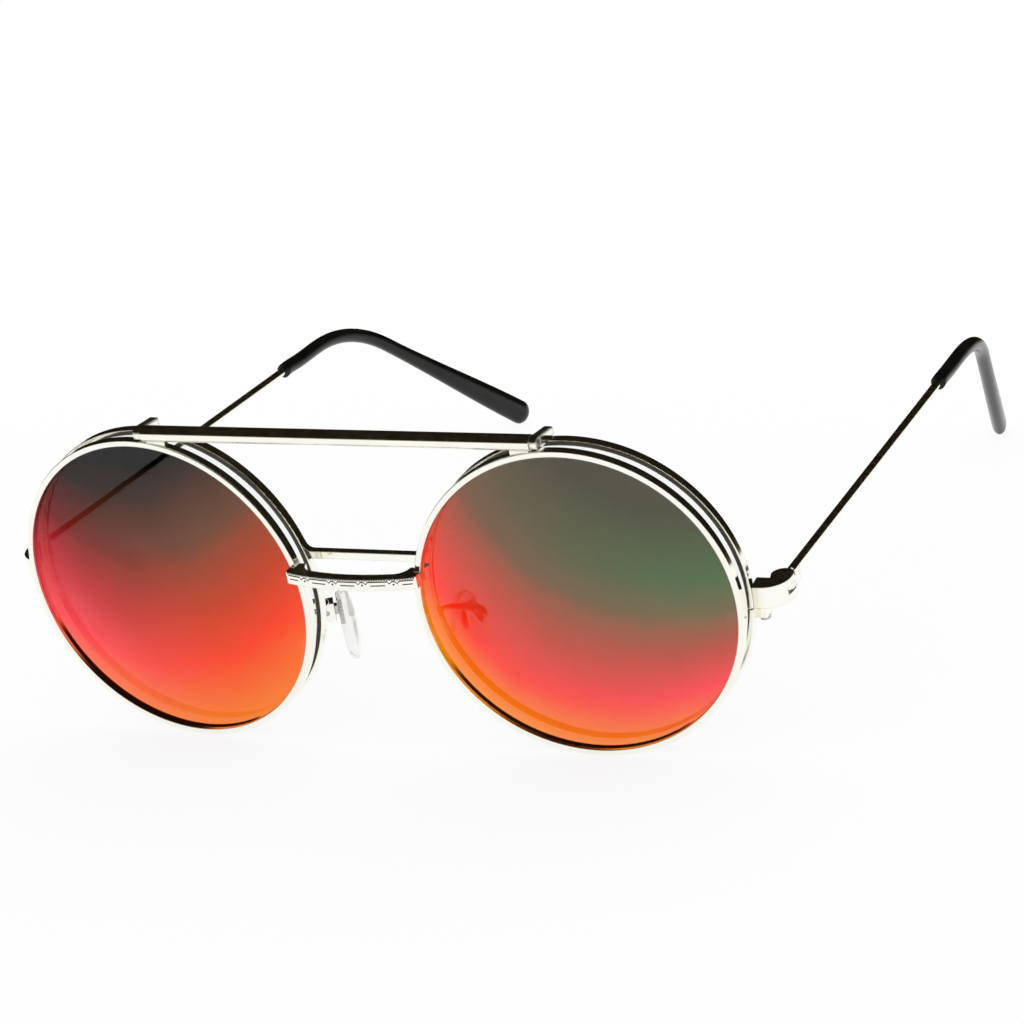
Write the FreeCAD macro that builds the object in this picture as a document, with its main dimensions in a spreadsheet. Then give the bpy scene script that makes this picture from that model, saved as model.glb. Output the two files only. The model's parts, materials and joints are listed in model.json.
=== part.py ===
import FreeCAD, Part
import math
import os

import Sketcher
from FreeCAD import Placement, Rotation, Vector

# Flip up sunglasses, standing on a table with the temples open and the flip front closed.
# Millimetres. X is the wearer's left and the viewer's right, Y runs back to the wearer, Z is up.
# The origin lies on the table, in the middle of the footprint.
# Pieces are drawn in the frame of the lens fronts, which leans forward on the table.
# The right half, as seen from the front, is drawn and the left half mirrors it.

SIZES = (
    ("lens_spacing", 67.8, "between the two lens centres"),
    ("wrap_angle", 5.0, "each lens turned back at its outer side"),
    ("front_lean", 7.2, "lens fronts leaning forward when the pair stands"),
    ("rim_bore", 48.0, "lens opening across"),
    ("rim_wall", 0.9, "rim, across its front face"),
    ("rim_depth", 1.5, "rim, front to back"),
    ("rim_edge_round", 0.15, "rounding of the rim's outer edges"),
    ("rim_pitch", 3.6, "front rims to rear rims"),
    ("groove_depth", 0.45, "lens groove in the rim"),
    ("groove_front", 0.8, "rim ahead of the groove"),
    ("groove_width", 0.45, "lens groove, front to back"),
    ("lens_thickness", 0.8, "lens at its rim"),
    ("lens_curve", 130.0, "radius of the lens fronts"),
    ("fit_gap", 0.05, "gap of a fixed fit"),
    ("running_gap", 0.03, "gap of a turning fit"),
    ("brow_tube_outside", 2.4, "brow tube across"),
    ("brow_tube_bore", 1.6, "brow tube, inside"),
    ("tube_end_inset", 2.2, "brow tube ends short of the lens centres"),
    ("tube_stand_off", 0.05, "solder between tube and rim top"),
    ("tube_setback", 0.3, "tube axis behind the front of the rims"),
    ("saddle_length", 3.0, "solder saddle along the tube"),
    ("saddle_width", 1.0, "solder saddle, front to back"),
    ("saddle_inset", 0.5, "solder saddle from the tube's end"),
    ("pivot_rod_across", 1.0, "pivot rod"),
    ("bush_length", 6.0, "friction bush"),
    ("ear_thickness", 1.1, "flip ear along the tube"),
    ("ear_eye_radius", 1.0, "round eye of the flip ear"),
    ("ear_tail_height", 1.5, "tail of the flip ear at its end"),
    ("ear_overhang", 0.2, "tail of the flip ear behind the rear rim"),
    ("ear_foot", 0.4, "foot of the flip ear, cut to the rear rim"),
    ("ear_side_gap", 0.1, "flip ear to the tube's end"),
    ("rear_bridge_rise", 5.95, "rear bridge above the lens centres"),
    ("rear_bridge_height", 1.2, "rear bridge, up and down"),
    ("rear_bridge_depth", 1.2, "rear bridge, front to back"),
    ("rear_bridge_flare", 1.3, "radius of the flare at the rims"),
    ("front_bridge_rise", 4.85, "front bridge above the lens centres"),
    ("front_bridge_height", 1.95, "front bridge, up and down"),
    ("front_bridge_thickness", 1.5, "front bridge, front to back"),
    ("front_bridge_lap", 1.6, "front bridge lapping over each rim"),
    ("front_bridge_bow", 1.5, "forward bow of the front bridge"),
    ("bridge_foot_width", 0.5, "foot of the front bridge beside the rim"),
    ("bridge_foot_depth", 1.2, "foot of the front bridge behind the rim fronts"),
    ("bridge_foot_round", 2.2, "radius between the foot and the front bridge"),
    ("end_piece_height", 3.35, "end piece, up and down"),
    ("end_piece_drop", 0.9, "end piece below the lens centres"),
    ("end_piece_root", 3.05, "end piece at the rim, front to back"),
    ("end_piece_corner", 3.65, "radius of the end piece's outer corner"),
    ("hinge_stand_off", 3.145, "temple hinge axis outwards from the rim"),
    ("hinge_setback", 10.2, "temple hinge axis behind the front rims"),
    ("knuckle_radius", 1.7, "hinge knuckle"),
    ("slot_reach", 2.45, "hinge slot from the hinge axis"),
    ("tongue_thickness", 1.0, "tongue of the temple in the slot"),
    ("hinge_screw_across", 1.2, "hinge screw shank"),
    ("hinge_screw_head", 2.0, "hinge screw head across"),
    ("hinge_head_height", 0.6, "hinge screw head"),
    ("hinge_cover", 0.4, "metal above the end of the hinge screw"),
    ("lock_height", 1.6, "rim lock below the end piece"),
    ("lock_width", 1.5, "rim lock outwards from the rim"),
    ("lock_depth", 2.2, "rim lock, front to back"),
    ("lock_gap", 0.2, "gap at the rim's split"),
    ("lock_screw_across", 1.0, "rim lock screw shank"),
    ("lock_screw_head", 1.6, "rim lock screw head across"),
    ("lock_head_height", 0.5, "rim lock screw head"),
    ("wire_across", 1.3, "temple wire"),
    ("wire_offset", 0.4, "temple wire outside the hinge axis"),
    ("wire_rise", 1.0, "temple wire above the middle of the end piece"),
    ("butt_length", 1.9, "block at the front end of the temple"),
    ("butt_height", 2.4, "block at the front end of the temple"),
    ("butt_setback", 2.1, "block behind the hinge axis"),
    ("temple_toe_in_angle", 3.45, "temple turned inward"),
    ("temple_fall_angle", 5.0, "temple sloping down from the lens normal"),
    ("temple_straight", 83.9, "straight wire from the hinge to the ear bend"),
    ("ear_bend", 42.0, "ear bend of the temple"),
    ("ear_bend_radius", 26.0, "radius of the ear bend"),
    ("ear_lean_angle", 19.0, "temple tip leaning inward"),
    ("tip_lead", 11.4, "black tip ahead of the ear bend"),
    ("tip_across", 2.3, "black tip at its start"),
    ("tip_width", 4.1, "black tip at its broad end"),
    ("tip_thickness", 2.5, "black tip at its broad end, sideways"),
    ("tip_turn_angle", 25.0, "flat of the black tip turned upright"),
    ("core_stop", 12.0, "wire core ends before the tip's end"),
    ("pad_reach", 10.0, "nose pad centre from the middle"),
    ("pad_setback", 9.6, "nose pad centre behind the front rims"),
    ("pad_drop", 9.8, "nose pad centre below the lens centres"),
    ("pad_splay_angle", 29.0, "nose pad turned open towards the wearer"),
    ("pad_height", 12.2, "nose pad, up and down"),
    ("pad_foot_width", 6.7, "nose pad, lower part across"),
    ("pad_head_width", 5.3, "nose pad, upper part across"),
    ("pad_thickness", 2.4, "nose pad"),
    ("pad_edge_round", 0.9, "rounding of the pad's nose side"),
    ("pad_stem_rise", 2.6, "pad stem above the pad's centre"),
    ("core_plate_height", 4.0, "plate moulded into the pad"),
    ("core_plate_width", 2.8, "plate moulded into the pad"),
    ("core_plate_depth", 0.8, "plate moulded into the pad"),
    ("stem_width", 1.1, "pad stem, front to back"),
    ("stem_height", 1.4, "pad stem, up and down"),
    ("stem_end", 0.6, "pad stem beyond its screw"),
    ("pad_box_gap", 0.5, "pad to its box"),
    ("pad_box_depth", 2.6, "pad box along the stem"),
    ("pad_box_wall", 0.45, "walls of the pad box"),
    ("stem_side_gap", 0.08, "stem to the box's side walls"),
    ("stem_rock_gap", 0.3, "stem to the box above and below"),
    ("pad_screw_across", 0.7, "pad screw shank"),
    ("pad_screw_head", 1.3, "pad screw head across"),
    ("pad_head_height", 0.4, "pad screw head"),
    ("pad_arm_across", 0.9, "pad arm wire"),
    ("pad_arm_drop", 3.5, "pad arm on the rim, below the lens centres"),
    ("pad_arm_loop", 2.2, "pad arm's loop outside the pad box"),
)


class Size:
    """A number together with the sheet formula that gives it."""

    def __init__(self, number, formula=None):
        self.number = number
        self.formula = str(number) if formula is None else formula

    def joined(self, other, sign, number):
        return Size(number, f"({self.formula} {sign} {other.formula})")

    def __add__(self, other):
        other = as_size(other)
        return self.joined(other, "+", self.number + other.number)

    def __sub__(self, other):
        other = as_size(other)
        return self.joined(other, "-", self.number - other.number)

    def __mul__(self, other):
        other = as_size(other)
        return self.joined(other, "*", self.number * other.number)

    def __truediv__(self, other):
        other = as_size(other)
        return self.joined(other, "/", self.number / other.number)

    def __neg__(self):
        return Size(-self.number, f"(-{self.formula})")

    def __float__(self):
        return float(self.number)


def as_size(number):
    return number if isinstance(number, Size) else Size(number)


def sine(angle):
    return Size(math.sin(math.radians(angle.number)), f"sin({angle.formula})")


def cosine(angle):
    return Size(math.cos(math.radians(angle.number)), f"cos({angle.formula})")


doc = FreeCAD.newDocument("flip_up_sunglasses")
sheet = doc.addObject("Spreadsheet::Sheet", "Sizes")


class Sizes:
    """The driving dimensions, each by its name in the sheet."""


s = Sizes()
for row, (name, number, meaning) in enumerate(SIZES, start=1):
    sheet.set(f"A{row}", name)
    sheet.set(f"B{row}", str(number))
    sheet.set(f"C{row}", meaning)
    sheet.setAlias(f"B{row}", name)
    setattr(s, name, Size(number, f"Sizes.{name}"))
doc.recompute()

# Sizes that several pieces share
lens_reach = s.lens_spacing / 2
rim_inside = s.rim_bore / 2
rim_outside = rim_inside + s.rim_wall
rim_gap = lens_reach - rim_outside * cosine(s.wrap_angle)
bridge_reach = rim_gap + s.front_bridge_lap
groove_radius = rim_inside + s.groove_depth
groove_middle = s.groove_front + s.groove_width / 2
tube_radius = s.brow_tube_outside / 2
pivot_rise = rim_outside + s.tube_stand_off + tube_radius
pivot_setback = s.tube_setback
half_tube = lens_reach - s.tube_end_inset
ear_inner = half_tube + s.ear_side_gap
rod_radius = s.pivot_rod_across / 2
hinge_reach = lens_reach + rim_outside * cosine(s.wrap_angle) + s.hinge_stand_off
half_end_piece = s.end_piece_height / 2
wire_radius = s.wire_across / 2
half_tip_width = s.tip_width / 2
rock_axis = s.pad_thickness / 2 + s.pad_box_gap + s.pad_box_depth / 2

# A tip ring is never quite a circle, so that its two radii keep their order
RING_MARGIN = 0.01

X_AXIS = Vector(1, 0, 0)
Y_AXIS = Vector(0, 1, 0)
Z_AXIS = Vector(0, 0, 1)


def at(x, y, z, axis=Z_AXIS, angle=0):
    """Placement at a point of the lens frame, turned about one axis."""
    return Placement(Vector(float(x), float(y), float(z)), Rotation(axis, float(angle)))


# Ear bend of the temple wire, in the plane of the temple: along the wire and up
bend_end_along = s.temple_straight + s.ear_bend_radius * sine(s.ear_bend)
bend_end_up = s.ear_bend_radius * cosine(s.ear_bend) - s.ear_bend_radius

temple_place = (
    at(hinge_reach, s.hinge_setback, -s.end_piece_drop)
    * at(s.wire_offset, s.butt_setback, s.wire_rise)
    * at(0, 0, 0, Z_AXIS, s.temple_toe_in_angle)
    * at(0, 0, 0, X_AXIS, -s.temple_fall_angle)
    * at(0, 0, 0, Y_AXIS, s.ear_lean_angle)
)

# The temple tips end on the table, which gives the length behind the ear bend
lean = at(0, 0, 0, X_AXIS, s.front_lean)
table_drop = rim_outside.number * math.cos(math.radians(s.front_lean.number))
bend_radians = math.radians(s.ear_bend.number)
bend_end = Vector(0, bend_end_along.number, bend_end_up.number)
tip_way = Vector(0, math.cos(bend_radians), -math.sin(bend_radians))
bend_end_height = (lean * temple_place).multVec(bend_end).z + table_drop
fall_rate = -(lean * temple_place).Rotation.multVec(tip_way).z
tip_straight = (bend_end_height - half_tip_width.number) / fall_rate + half_tip_width.number
tip_end = bend_end + tip_way * tip_straight

# The stand puts the lens frame on the table, with the origin in the middle of the footprint
bridge_front = (
    (bridge_reach - lens_reach) * sine(s.wrap_angle)
    - s.front_bridge_bow
    - s.front_bridge_thickness
)
foremost = lean.multVec(Vector(0, bridge_front.number, s.front_bridge_rise.number)).y
rearmost = (lean * temple_place).multVec(tip_end).y
stand = Placement(Vector(0, -(foremost + rearmost) / 2, table_drop), lean.Rotation)

front_lens_place = stand * at(lens_reach, 0, 0, Z_AXIS, s.wrap_angle)
rear_lens_place = stand * at(lens_reach, s.rim_pitch, 0, Z_AXIS, s.wrap_angle)
pivot_place = stand * at(0, pivot_setback, pivot_rise)
hinge_place = stand * at(hinge_reach, s.hinge_setback, -s.end_piece_drop)
pad_place = stand * at(s.pad_reach, s.pad_setback, -s.pad_drop, Z_AXIS, -s.pad_splay_angle)
rock_place = pad_place * at(rock_axis, 0, s.pad_stem_rise)
wire_place = stand * temple_place

pieces = []


def bind(thing, **sizes):
    """Tie properties of an object to formulas of the sheet."""
    for name, size in sizes.items():
        thing.setExpression(name, as_size(size).formula)


def keep(thing, label):
    """List an object as a finished piece under its own name."""
    thing.Label = label
    pieces.append(thing)
    return thing


def mirrored(right_piece, label):
    """The same piece on the other side of the middle."""
    left_piece = doc.addObject("Part::Mirroring", label)
    left_piece.Source = right_piece
    left_piece.Normal = X_AXIS
    return keep(left_piece, label)


def both_sides(right_piece, name):
    keep(right_piece, f"{name}_right")
    mirrored(right_piece, f"{name}_left")


def new_body(name, place):
    body = doc.addObject("PartDesign::Body", name)
    body.Placement = place
    return body


def new_sketch(body, role, name):
    """A sketch on one of the body's own origin planes."""
    sketch = body.newObject("Sketcher::SketchObject", name)
    plane = next(part for part in body.Origin.OriginFeatures if part.Role == role)
    sketch.AttachmentSupport = (plane, [""])
    sketch.MapMode = "FlatFace"
    return sketch


def hold(sketch, element, end, x, y):
    """Hold one end of a sketch element at two sizes from the sketch's origin."""
    for kind, axis, size in (("DistanceX", -2, as_size(x)), ("DistanceY", -1, as_size(y))):
        if size.number == 0:
            sketch.addConstraint(Sketcher.Constraint("PointOnObject", element, end, axis))
        elif size.number > 0:
            index = sketch.addConstraint(Sketcher.Constraint(kind, -1, 1, element, end, size.number))
            sketch.setExpression(f"Constraints[{index}]", size.formula)
        else:
            index = sketch.addConstraint(Sketcher.Constraint(kind, element, end, -1, 1, -size.number))
            sketch.setExpression(f"Constraints[{index}]", (-size).formula)


def arc_between(start, end, radius, turn):
    """A short arc from start to end, turning left (1) or right (-1)."""
    middle = (start + end) / 2
    chord = end - start
    rise = math.sqrt(radius * radius - chord.Length * chord.Length / 4)
    centre = middle + Vector(-chord.y, chord.x, 0).normalize() * rise * turn
    first, last = (start, end) if turn > 0 else (end, start)
    start_angle = math.atan2(first.y - centre.y, first.x - centre.x)
    end_angle = math.atan2(last.y - centre.y, last.x - centre.x)
    return Part.ArcOfCircle(Part.Circle(centre, Z_AXIS, radius), start_angle, end_angle)


def outline(sketch, corners, closed=True):
    """Edges through corners (x, y) or (x, y, radius, turn), the latter starting an arc."""
    points = [Vector(float(corner[0]), float(corner[1]), 0) for corner in corners]
    count = len(corners) if closed else len(corners) - 1
    for i in range(count):
        corner = corners[i]
        start = points[i]
        end = points[(i + 1) % len(points)]
        start_end = 1
        if len(corner) == 2:
            element = sketch.addGeometry(Part.LineSegment(start, end))
        else:
            radius = as_size(corner[2])
            element = sketch.addGeometry(arc_between(start, end, radius.number, corner[3]))
            index = sketch.addConstraint(Sketcher.Constraint("Radius", element, radius.number))
            sketch.setExpression(f"Constraints[{index}]", radius.formula)
            start_end = 1 if corner[3] > 0 else 2
        hold(sketch, element, start_end, corner[0], corner[1])
        if i > 0:
            join(sketch, previous, element, start_end)
        else:
            first = (element, start_end)
        previous = (element, 3 - start_end)
    if closed:
        join(sketch, previous, *first)
    else:
        hold(sketch, *previous, corners[-1][0], corners[-1][1])


def join(sketch, previous, element, end):
    sketch.addConstraint(Sketcher.Constraint("Coincident", *previous, element, end))


def circle(sketch, radius, x=0, y=0):
    radius = as_size(radius)
    centre = Vector(float(x), float(y), 0)
    element = sketch.addGeometry(Part.Circle(centre, Z_AXIS, radius.number))
    index = sketch.addConstraint(Sketcher.Constraint("Radius", element, radius.number))
    sketch.setExpression(f"Constraints[{index}]", radius.formula)
    hold(sketch, element, 3, x, y)


def pad(body, sketch, length):
    """Material on both sides of the sketch."""
    feature = body.newObject("PartDesign::Pad", f"{sketch.Name}_pad")
    feature.Profile = sketch
    feature.SideType = "Symmetric"
    bind(feature, Length=length)
    return feature


def pocket(body, sketch, length):
    """A cut on both sides of the sketch."""
    feature = body.newObject("PartDesign::Pocket", f"{sketch.Name}_pocket")
    feature.Profile = sketch
    feature.SideType = "Symmetric"
    bind(feature, Length=length)
    return feature


def turned(body, sketch, kind="Revolution"):
    """Turn a half outline about the sketch's upright axis, as material or as a cut."""
    feature = body.newObject(f"PartDesign::{kind}", f"{sketch.Name}_turned")
    feature.Profile = sketch
    feature.ReferenceAxis = (sketch, ["V_Axis"])
    feature.Angle = 360
    return feature


def rounded(body, radius, chosen):
    """Round the edges of the body that a test chooses."""
    doc.recompute()
    base = body.Tip
    edges = enumerate(base.Shape.Edges, start=1)
    names = [f"Edge{number}" for number, edge in edges if chosen(edge)]
    feature = body.newObject("PartDesign::Fillet", f"{base.Name}_round")
    feature.Base = (base, names)
    bind(feature, Radius=radius)
    return feature


def box(name, place, low, high):
    """A box between two corners of a placement's frame."""
    thing = doc.addObject("Part::Box", name)
    spans = [as_size(b) - a for a, b in zip(low, high)]
    bind(thing, Length=spans[0], Width=spans[1], Height=spans[2])
    thing.Placement = place * at(*low)
    return thing


def cylinder(name, place, radius, height):
    """A round bar along the placement's own Z axis."""
    thing = doc.addObject("Part::Cylinder", name)
    bind(thing, Radius=radius, Height=height)
    thing.Placement = place
    return thing


def cut(name, base, *tools):
    tool = tools[0]
    if len(tools) > 1:
        tool = doc.addObject("Part::MultiFuse", f"{name}_tools")
        tool.Shapes = list(tools)
    thing = doc.addObject("Part::Cut", name)
    thing.Base = base
    thing.Tool = tool
    return thing


def along_x(x, radius_place):
    """Placement whose Z axis runs along X, starting at x."""
    return radius_place * at(x, 0, 0, Y_AXIS, 90)


def lens_disc(name, place, start, depth):
    """A full disc as wide as a rim, used to trim what is soldered to the rim."""
    return cylinder(name, place * at(0, start, 0, X_AXIS, -90), rim_outside, depth)


def rim(name, place):
    """Rim ring about Y with a groove for the lens."""
    body = new_body(name, place)
    sketch = new_sketch(body, "XY_Plane", f"{name}_section")
    outline(
        sketch,
        (
            (rim_inside, 0),
            (rim_outside, 0),
            (rim_outside, s.rim_depth),
            (rim_inside, s.rim_depth),
            (rim_inside, s.groove_front + s.groove_width),
            (groove_radius, groove_middle),
            (rim_inside, s.groove_front),
        ),
    )
    turned(body, sketch)
    outer = rim_outside.number - 0.01
    rounded(body, s.rim_edge_round, lambda edge: edge.BoundBox.XLength > 2 * outer)
    return body


def lens(name, place):
    """Bowed round lens with a bevelled edge that sits in the rim's groove."""
    body = new_body(name, place)
    sketch = new_sketch(body, "XY_Plane", f"{name}_section")
    shoulder = rim_inside - s.fit_gap
    bevel = groove_radius - s.fit_gap
    front = groove_middle - s.lens_thickness / 2
    back = groove_middle + s.lens_thickness / 2
    sag = s.lens_curve.number - math.sqrt(s.lens_curve.number**2 - shoulder.number**2)
    edge = (
        (shoulder, front),
        (shoulder, s.groove_front),
        (bevel, groove_middle),
        (shoulder, s.groove_front + s.groove_width),
        (shoulder, back),
    )
    outline(sketch, edge, closed=False)
    last = len(edge) - 2
    faces = []
    for face, corner in ((front, (0, 1)), (back, (last, 2))):
        start = Vector(0, face.number - sag, 0)
        end = Vector(shoulder.number, face.number, 0)
        element = sketch.addGeometry(arc_between(start, end, s.lens_curve.number, 1))
        index = sketch.addConstraint(Sketcher.Constraint("Radius", element, s.lens_curve.number))
        sketch.setExpression(f"Constraints[{index}]", s.lens_curve.formula)
        sketch.addConstraint(Sketcher.Constraint("PointOnObject", element, 1, -2))
        sketch.addConstraint(Sketcher.Constraint("PointOnObject", element, 3, -2))
        sketch.addConstraint(Sketcher.Constraint("Coincident", element, 2, *corner))
        faces.append(element)
    axis = sketch.addGeometry(
        Part.LineSegment(Vector(0, back.number - sag, 0), Vector(0, front.number - sag, 0))
    )
    sketch.addConstraint(Sketcher.Constraint("Coincident", axis, 1, faces[1], 1))
    sketch.addConstraint(Sketcher.Constraint("Coincident", axis, 2, faces[0], 1))
    turned(body, sketch)
    return body


def screw(name, place, shank, length, head, head_height):
    """Screw along Z: the head starts at the origin and the shank follows it."""
    body = new_body(name, place)
    sketch = new_sketch(body, "XZ_Plane", f"{name}_section")
    screw_outline(sketch, shank / 2, length, head / 2, head_height)
    turned(body, sketch)
    slot = new_sketch(body, "XY_Plane", f"{name}_slot")
    half_slot = head / 12
    outline(slot, ((-head, -half_slot), (head, -half_slot), (head, half_slot), (-head, half_slot)))
    pocket(body, slot, head_height)
    return body


def screw_outline(sketch, shank_radius, length, head_radius, head_height, start=0):
    start = as_size(start)
    outline(
        sketch,
        (
            (0, start),
            (head_radius, start),
            (head_radius, start + head_height),
            (shank_radius, start + head_height),
            (shank_radius, start + head_height + length),
            (0, start + head_height + length),
        ),
    )


# Rims and lenses, front and rear
front_rim = rim("front_rim", front_lens_place)
both_sides(front_rim, "front_rim")
both_sides(lens("front_lens", front_lens_place), "front_lens")

rear_rim = rim("rear_rim", rear_lens_place)
split = new_sketch(rear_rim, "XZ_Plane", "rear_rim_split")
split_top = -(s.end_piece_drop + half_end_piece)
outline(
    split,
    (
        (rim_inside * 0.9, split_top),
        (rim_inside * 0.9, split_top - s.lock_gap),
        (rim_outside + s.rim_wall, split_top - s.lock_gap),
        (rim_outside + s.rim_wall, split_top),
    ),
)
pocket(rear_rim, split, s.rim_depth * 4)
both_sides(rear_rim, "rear_rim")
both_sides(lens("rear_lens", rear_lens_place), "rear_lens")


# Rear bridge: a bar that flares where it meets the rims
def rear_bridge():
    rise = s.rear_bridge_rise.number
    gap = lens_reach.number - math.sqrt(rim_outside.number**2 - rise**2)
    setback = s.rim_pitch + s.rim_depth / 2 - rim_outside * sine(s.wrap_angle)
    body = new_body("rear_bridge_bar", stand * at(0, setback, rise))
    sketch = new_sketch(body, "XZ_Plane", "rear_bridge_front")
    flare = s.rear_bridge_flare
    half = s.rear_bridge_height / 2
    end = as_size(gap) + flare / 4
    outline(
        sketch,
        (
            (flare - end, half, flare, -1),
            (-end, half + flare),
            (-end, -half - flare, flare, -1),
            (flare - end, -half),
            (end - flare, -half, flare, -1),
            (end, -half - flare),
            (end, half + flare, flare, -1),
            (end - flare, half),
        ),
    )
    pad(body, sketch, s.rear_bridge_depth)
    right = lens_disc("bridge_trim_right", rear_lens_place, -s.rim_depth, s.rim_depth * 3)
    left = doc.addObject("Part::Mirroring", "bridge_trim_left")
    left.Source = right
    left.Normal = X_AXIS
    return cut("rear_bridge", body, right, left)


keep(rear_bridge(), "rear_bridge")


# Front bridge: a bowed bar on the fronts of the front rims, with a foot against the side of each rim
def front_bridge():
    setback = (bridge_reach - lens_reach) * sine(s.wrap_angle)
    body = new_body("front_bridge_bar", stand * at(0, setback, s.front_bridge_rise))
    sketch = new_sketch(body, "XY_Plane", "front_bridge_plan")
    reach = bridge_reach
    bow = s.front_bridge_bow
    curve = (reach * reach + bow * bow) / (bow * 2)
    thickness = s.front_bridge_thickness
    foot = rim_gap - s.bridge_foot_width
    depth = s.bridge_foot_depth
    neck = foot - s.bridge_foot_round
    neck_back = bow * neck * neck / (reach * reach) - bow
    outline(
        sketch,
        (
            (reach, depth),
            (foot, depth, s.bridge_foot_round, -1),
            (neck, neck_back, curve, -1),
            (-neck, neck_back, s.bridge_foot_round, -1),
            (-foot, depth),
            (-reach, depth),
            (-reach, -thickness, curve, 1),
            (reach, -thickness),
        ),
    )
    pad(body, sketch, s.front_bridge_height)
    right = lens_disc("front_trim_right", front_lens_place, 0, s.rim_depth * 2)
    left = doc.addObject("Part::Mirroring", "front_trim_left")
    left.Source = right
    left.Normal = X_AXIS
    return cut("front_bridge", body, right, left)


keep(front_bridge(), "front_bridge")


# Flip hinge: brow tube, pivot rod, friction bushes, ears and solder saddles
def sleeve(name, start, radius, bore, length):
    place = along_x(start, pivot_place)
    outside = cylinder(f"{name}_outside", place, radius, length)
    inside = cylinder(f"{name}_inside", along_x(as_size(start) - 1, pivot_place), bore, length + 2)
    return cut(name, outside, inside)


tube_bore = s.brow_tube_bore / 2
keep(sleeve("brow_tube", -half_tube, tube_radius, tube_bore, half_tube * 2), "brow_tube")
bush_bore = rod_radius + s.running_gap
bush_radius = tube_bore - s.running_gap
bush_start = half_tube - s.bush_length
both_sides(sleeve("friction_bush", bush_start, bush_radius, bush_bore, s.bush_length), "friction_bush")

rod_end = ear_inner + s.ear_thickness
keep(cylinder("pivot_rod", along_x(-rod_end, pivot_place), rod_radius, rod_end * 2), "pivot_rod")


def flip_ear():
    """Plate with an eye for the rod and a tail that is soldered on top of the rear rim."""
    body = new_body("flip_ear_plate", pivot_place * at(ear_inner + s.ear_thickness / 2, 0, 0))
    sketch = new_sketch(body, "YZ_Plane", "flip_ear_side")
    eye = s.ear_eye_radius
    seat = -(tube_radius + s.tube_stand_off)
    seat_start = s.rim_pitch - pivot_setback
    tail_end = seat_start + s.rim_depth + s.ear_overhang
    corner = s.ear_tail_height / 3
    top = seat + s.ear_tail_height
    outline(
        sketch,
        (
            (0, eye, eye, 1),
            (-eye, 0, eye, 1),
            (0, -eye),
            (seat_start, seat),
            (seat_start, seat - s.ear_foot),
            (tail_end, seat - s.ear_foot),
            (tail_end, top - corner, corner, 1),
            (tail_end - corner, top),
        ),
    )
    circle(sketch, rod_radius + s.running_gap)
    pad(body, sketch, s.ear_thickness)
    disc = lens_disc("flip_ear_trim", rear_lens_place, -s.rim_depth, s.rim_depth * 3)
    return cut("flip_ear", body, disc)


both_sides(flip_ear(), "flip_ear")


def tube_saddle():
    """Solder between the tube and the top of the front rim."""
    end = half_tube - s.saddle_inset
    half = s.saddle_width / 2
    block = box(
        "saddle_block",
        pivot_place,
        (end - s.saddle_length, -half, -tube_radius * 2),
        (end, half, -tube_radius / 2),
    )
    tube = cylinder("saddle_tube", along_x(0, pivot_place), tube_radius, half_tube)
    disc = lens_disc("saddle_disc", front_lens_place, -s.rim_depth, s.rim_depth * 3)
    return cut("tube_saddle", block, tube, disc)


both_sides(tube_saddle(), "tube_saddle")


# Temple hinge: end piece, rim lock and their screws
lock_screw_x = s.lock_width / 2 - s.hinge_stand_off
end_piece_front = -(s.end_piece_corner + s.knuckle_radius * 0.4)
lock_screw_y = end_piece_front + s.end_piece_root / 2
lock_top = -(half_end_piece + s.lock_gap)
lock_bite = half_end_piece
hinge_shank = s.end_piece_height - s.hinge_head_height - s.hinge_cover
lock_screw_place = hinge_place * at(lock_screw_x, lock_screw_y, lock_top - s.lock_height - s.lock_head_height)


def end_piece():
    """Lug with a round knuckle, slotted for the temple's tongue."""
    body = new_body("end_piece_lug", hinge_place)
    sketch = new_sketch(body, "XY_Plane", "end_piece_plan")
    knuckle = s.knuckle_radius
    corner = s.end_piece_corner
    root = lock_screw_x - s.lock_width
    back = end_piece_front + s.end_piece_root
    outline(
        sketch,
        (
            (root, end_piece_front),
            (knuckle - corner, end_piece_front, corner, 1),
            (knuckle, end_piece_front + corner),
            (knuckle, 0, knuckle, 1),
            (0, knuckle, knuckle, 1),
            (-knuckle, 0),
            (-knuckle * 0.8, back),
            (root, back),
        ),
    )
    pad(body, sketch, s.end_piece_height)
    slot = new_sketch(body, "XY_Plane", "end_piece_slot")
    circle(slot, s.slot_reach)
    pocket(body, slot, s.tongue_thickness + s.running_gap * 2)
    bore = new_sketch(body, "XZ_Plane", "end_piece_bore")
    screw_outline(
        bore,
        s.hinge_screw_across / 2 + s.running_gap,
        hinge_shank,
        s.hinge_screw_head / 2 + s.running_gap,
        s.hinge_head_height,
        -half_end_piece,
    )
    turned(body, bore, "Groove")
    disc = lens_disc("end_piece_trim", rear_lens_place, -s.rim_depth * 2, s.rim_depth * 6)
    hole = cylinder(
        "end_piece_lock_hole",
        lock_screw_place,
        s.lock_screw_across / 2 + s.fit_gap,
        s.lock_head_height + s.lock_height + s.lock_gap + lock_bite + s.fit_gap,
    )
    return cut("end_piece", body, disc, hole)


both_sides(end_piece(), "end_piece")


def rim_lock():
    """Lower half of the closing block, soldered to the rim below its split."""
    half = s.lock_depth / 2
    block = box(
        "rim_lock_block",
        hinge_place,
        (lock_screw_x - s.lock_width, lock_screw_y - half, lock_top - s.lock_height),
        (lock_screw_x + s.lock_width / 2, lock_screw_y + half, lock_top),
    )
    disc = lens_disc("rim_lock_trim", rear_lens_place, -s.rim_depth * 2, s.rim_depth * 6)
    hole = cylinder(
        "rim_lock_hole", lock_screw_place, s.lock_screw_across / 2 + s.fit_gap, s.lock_height * 2
    )
    return cut("rim_lock", block, disc, hole)


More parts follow.
